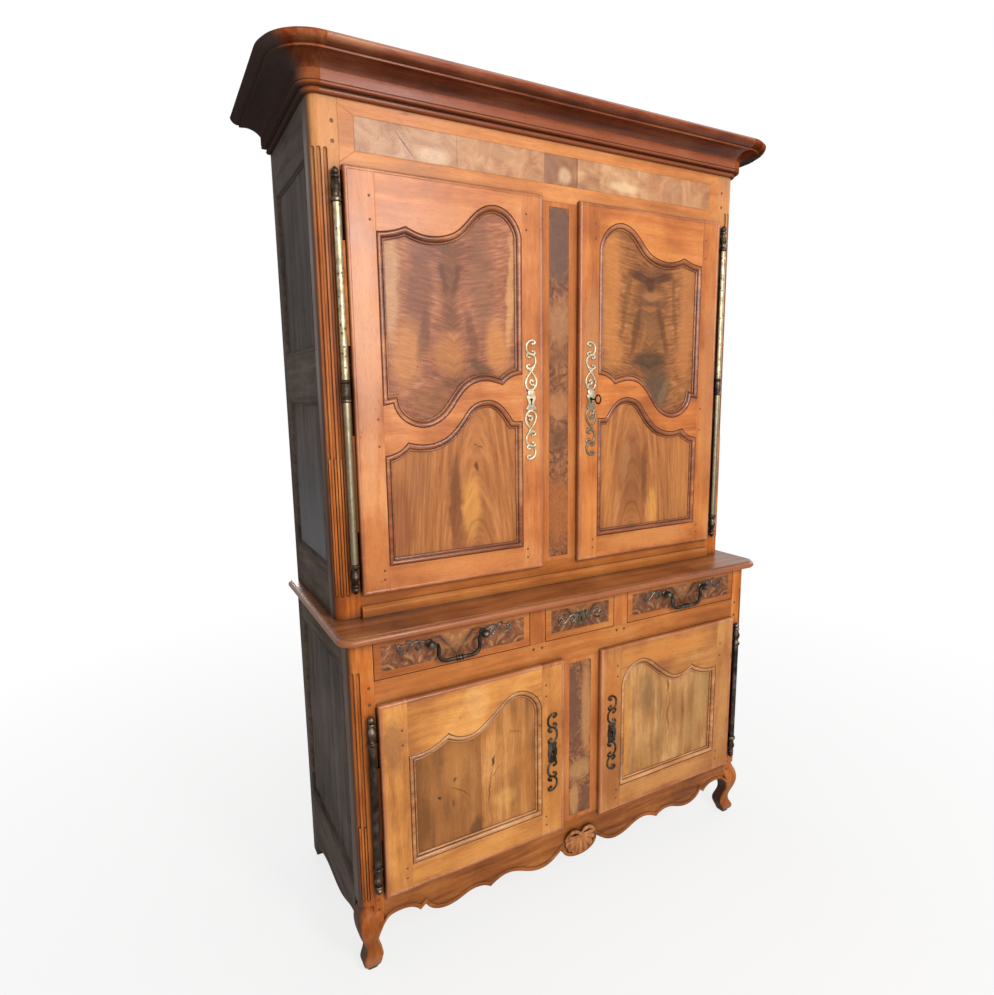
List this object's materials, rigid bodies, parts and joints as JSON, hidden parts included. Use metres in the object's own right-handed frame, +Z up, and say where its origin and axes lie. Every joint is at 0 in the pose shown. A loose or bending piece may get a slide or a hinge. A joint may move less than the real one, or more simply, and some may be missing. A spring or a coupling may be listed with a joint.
{
  "type": "two-part cupboard",
  "caption": "Two-part provincial walnut cupboard: shaped-panel doors above and below, a row of drawers, moulded crown, scalloped apron with a shell, and cabriole front legs.",
  "frame": {"origin": "on the floor under the middle of the whole box", "axes": "+X to the cupboard's right-hand side seen from the front, +Y towards its back, +Z up"},
  "size_m": [1.66, 0.63, 2.4],
  "materials": {
    "walnut_frame": "waxed old walnut, warm red-brown",
    "figured_walnut": "waxed figured walnut",
    "burr_veneer": "waxed pale burr veneer",
    "dark_walnut": "smoke-darkened walnut",
    "pale_softwood": "bare planed softwood",
    "worn_brass": "worn, tarnished brass",
    "dark_iron": "brown-patinated iron"
  },
  "bodies": {
    "carcass": {"lower_front_posts": "walnut_frame", "apron": "walnut_frame", "shell_carving": "walnut_frame", "drawer_rail": "walnut_frame", "drawer_dividers": "walnut_frame", "lower_centre_stile": "walnut_frame", "lower_top": "walnut_frame", "upper_front_posts": "walnut_frame", "frieze_rail": "walnut_frame", "frieze_ears": "walnut_frame", "upper_bottom_rail": "walnut_frame", "base_strip": "walnut_frame", "upper_centre_stile": "walnut_frame", "cornice_front": "walnut_frame", "cornice_ends": "walnut_frame", "burr_inlays": "burr_veneer", "side_rails": "dark_walnut", "side_panels": "dark_walnut", "back_posts": "dark_walnut", "carcass_pegs": "dark_walnut", "back_boards": "pale_softwood", "lower_floor": "pale_softwood", "upper_floor": "pale_softwood", "upper_ceiling": "pale_softwood", "shelves": "pale_softwood", "shelf_cleats": "pale_softwood", "drawer_runners": "pale_softwood", "hinge_pins": "dark_iron"},
    "upper_left_door": {"upper_left_door_frame": "walnut_frame", "upper_left_door_panels": "figured_walnut", "upper_left_door_lock": "worn_brass", "upper_left_door_hinge_tubes": "worn_brass"},
    "upper_right_door": {"upper_right_door_frame": "walnut_frame", "upper_right_door_panels": "figured_walnut", "upper_right_door_lock": "worn_brass", "upper_right_door_hinge_tubes": "worn_brass"},
    "lower_left_door": {"lower_left_door_frame": "walnut_frame", "lower_left_door_panels": "figured_walnut", "lower_left_door_lock": "dark_iron", "lower_left_door_hinge_tubes": "dark_iron"},
    "lower_right_door": {"lower_right_door_frame": "walnut_frame", "lower_right_door_panels": "figured_walnut", "lower_right_door_lock": "dark_iron", "lower_right_door_hinge_tubes": "dark_iron"},
    "left_drawer": {"left_drawer_front": "walnut_frame", "left_drawer_veneer": "burr_veneer", "left_drawer_box": "pale_softwood", "left_handle_plates": "dark_iron"},
    "middle_drawer": {"middle_drawer_front": "walnut_frame", "middle_drawer_veneer": "burr_veneer", "middle_drawer_box": "pale_softwood", "middle_drawer_plate": "dark_iron"},
    "right_drawer": {"right_drawer_front": "walnut_frame", "right_drawer_veneer": "burr_veneer", "right_drawer_box": "pale_softwood", "right_handle_plates": "dark_iron"},
    "left_bail": {"left_bail": "dark_iron"},
    "right_bail": {"right_bail": "dark_iron"},
    "key": {"key": "worn_brass"},
    "lock_bolt": {"lock_bolt": "dark_iron"}
  },
  "joints": [
    {"name": "upper_left_door_hinge", "type": "hinge", "parent": "carcass", "child": "upper_left_door", "pos_m": [-0.6665, -0.171, 1.603], "axis": [0, 0, -1], "range_deg": [0, 170]},
    {"name": "upper_right_door_hinge", "type": "hinge", "parent": "carcass", "child": "upper_right_door", "pos_m": [0.6665, -0.171, 1.603], "axis": [0, 0, 1], "range_deg": [0, 170]},
    {"name": "lower_left_door_hinge", "type": "hinge", "parent": "carcass", "child": "lower_left_door", "pos_m": [-0.6785, -0.294, 0.5065], "axis": [0, 0, -1], "range_deg": [0, 170]},
    {"name": "lower_right_door_hinge", "type": "hinge", "parent": "carcass", "child": "lower_right_door", "pos_m": [0.6785, -0.294, 0.5065], "axis": [0, 0, 1], "range_deg": [0, 170]},
    {"name": "left_drawer_slide", "type": "slide", "parent": "carcass", "child": "left_drawer", "axis": [0, -1, 0], "range_m": [0, 0.36]},
    {"name": "middle_drawer_slide", "type": "slide", "parent": "carcass", "child": "middle_drawer", "axis": [0, -1, 0], "range_m": [0, 0.36]},
    {"name": "right_drawer_slide", "type": "slide", "parent": "carcass", "child": "right_drawer", "axis": [0, -1, 0], "range_m": [0, 0.36]},
    {"name": "left_bail_swing", "type": "hinge", "parent": "left_drawer", "child": "left_bail", "pos_m": [-0.4225, -0.3, 0.929], "axis": [-1, 0, 0], "range_deg": [0, 100]},
    {"name": "right_bail_swing", "type": "hinge", "parent": "right_drawer", "child": "right_bail", "pos_m": [0.4225, -0.3, 0.929], "axis": [-1, 0, 0], "range_deg": [0, 100]},
    {"name": "key_turn", "type": "hinge", "parent": "upper_right_door", "child": "key", "pos_m": [0.11, -0.173, 1.57], "axis": [0, 1, 0], "range_deg": [0, 180]},
    {"name": "bolt_throw", "type": "slide", "parent": "upper_right_door", "child": "lock_bolt", "axis": [-1, 0, 0], "range_m": [0, 0.012]}
  ],
  "couplings": [
    {"joint": "key_turn", "follows": "bolt_throw", "rad_per_m": 261}
  ]
}
